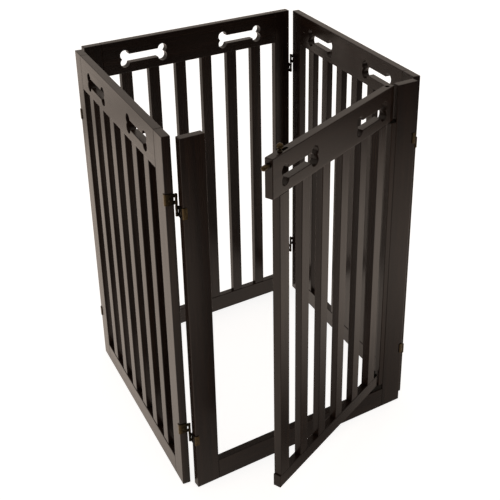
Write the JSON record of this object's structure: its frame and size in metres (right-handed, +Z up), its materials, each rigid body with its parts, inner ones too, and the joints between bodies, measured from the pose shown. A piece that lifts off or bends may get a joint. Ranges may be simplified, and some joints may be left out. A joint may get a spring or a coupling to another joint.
{
  "type": "folding pet gate",
  "caption": "Free-standing folding pet gate in dark wood: slatted panels hinged into a pen, with a walk-through door and slide bolt.",
  "frame": {"origin": "floor level under the middle of the front frame, in the middle of its thickness", "axes": "+X along the front frame towards the door's hinge side, +Y into the pen, +Z up"},
  "size_m": [0.613, 0.7041, 0.766],
  "materials": {
    "espresso_wood": "espresso stain under satin lacquer, edges softly rounded",
    "bronze_hardware": "antique bronze plating, satin",
    "steel_pivots": "dark oxide"
  },
  "bodies": {
    "front_frame": {"frame_stile_left": "espresso_wood", "frame_stile_right": "espresso_wood", "frame_threshold": "espresso_wood", "pivot_bracket_upper": "steel_pivots", "pivot_bracket_lower": "steel_pivots", "hinge_front_left_lower_pin": "bronze_hardware", "hinge_front_left_upper_pin": "bronze_hardware", "hinge_front_right_lower_socket": "bronze_hardware", "hinge_front_right_upper_socket": "bronze_hardware"},
    "left_panel": {"left_stile_a": "espresso_wood", "left_stile_b": "espresso_wood", "left_header": "espresso_wood", "left_rail": "espresso_wood", "left_slat_1": "espresso_wood", "left_slat_2": "espresso_wood", "left_slat_3": "espresso_wood", "left_slat_4": "espresso_wood", "left_slat_5": "espresso_wood", "left_slat_6": "espresso_wood", "hinge_front_left_lower_socket": "bronze_hardware", "hinge_front_left_upper_socket": "bronze_hardware", "hinge_back_left_lower_pin": "bronze_hardware", "hinge_back_left_upper_pin": "bronze_hardware"},
    "back_panel": {"back_stile_a": "espresso_wood", "back_stile_b": "espresso_wood", "back_header": "espresso_wood", "back_rail": "espresso_wood", "back_slat_1": "espresso_wood", "back_slat_2": "espresso_wood", "back_slat_3": "espresso_wood", "back_slat_4": "espresso_wood", "back_slat_5": "espresso_wood", "back_slat_6": "espresso_wood", "hinge_back_left_lower_socket": "bronze_hardware", "hinge_back_left_upper_socket": "bronze_hardware", "hinge_back_right_lower_pin": "bronze_hardware", "hinge_back_right_upper_pin": "bronze_hardware"},
    "right_panel": {"right_stile_a": "espresso_wood", "right_stile_b": "espresso_wood", "right_header": "espresso_wood", "right_rail": "espresso_wood", "right_slat_1": "espresso_wood", "right_slat_2": "espresso_wood", "right_slat_3": "espresso_wood", "right_slat_4": "espresso_wood", "right_slat_5": "espresso_wood", "right_slat_6": "espresso_wood", "hinge_back_right_lower_socket": "bronze_hardware", "hinge_back_right_upper_socket": "bronze_hardware", "hinge_front_right_lower_pin": "bronze_hardware", "hinge_front_right_upper_pin": "bronze_hardware"},
    "door": {"door_header": "espresso_wood", "door_rail": "espresso_wood", "door_stile_hinge": "espresso_wood", "door_stile_latch": "espresso_wood", "door_slat_1": "espresso_wood", "door_slat_2": "espresso_wood", "door_slat_3": "espresso_wood", "door_slat_4": "espresso_wood"},
    "latch_bolt": {"latch_bolt": "bronze_hardware"}
  },
  "joints": [
    {"name": "fold", "type": "hinge", "parent": "front_frame", "child": "left_panel", "pos_m": [-0.25695, 0.01095, 0], "axis": [0, 0, 1], "range_deg": [-81, 93]},
    {"name": "back_left_fold", "type": "hinge", "parent": "left_panel", "child": "back_panel", "pos_m": [-0.19878, 0.52155, 0], "axis": [0, 0, 1], "range_deg": [-93, 81]},
    {"name": "front_right_fold", "type": "hinge", "parent": "front_frame", "child": "right_panel", "pos_m": [0.25695, 0.01095, 0], "axis": [0, 0, 1], "range_deg": [-81, 93]},
    {"name": "door_swing", "type": "hinge", "parent": "front_frame", "child": "door", "pos_m": [0.18547, 0, 0], "axis": [0, 0, 1], "range_deg": [-23, 75]},
    {"name": "bolt_slide", "type": "slide", "parent": "door", "child": "latch_bolt", "axis": [0.9205, 0.3907, 0], "range_m": [0, 0.018]}
  ],
  "couplings": [
    {"joint": "back_left_fold", "follows": "fold", "ratio": -1},
    {"joint": "front_right_fold", "follows": "fold", "ratio": 1}
  ]
}
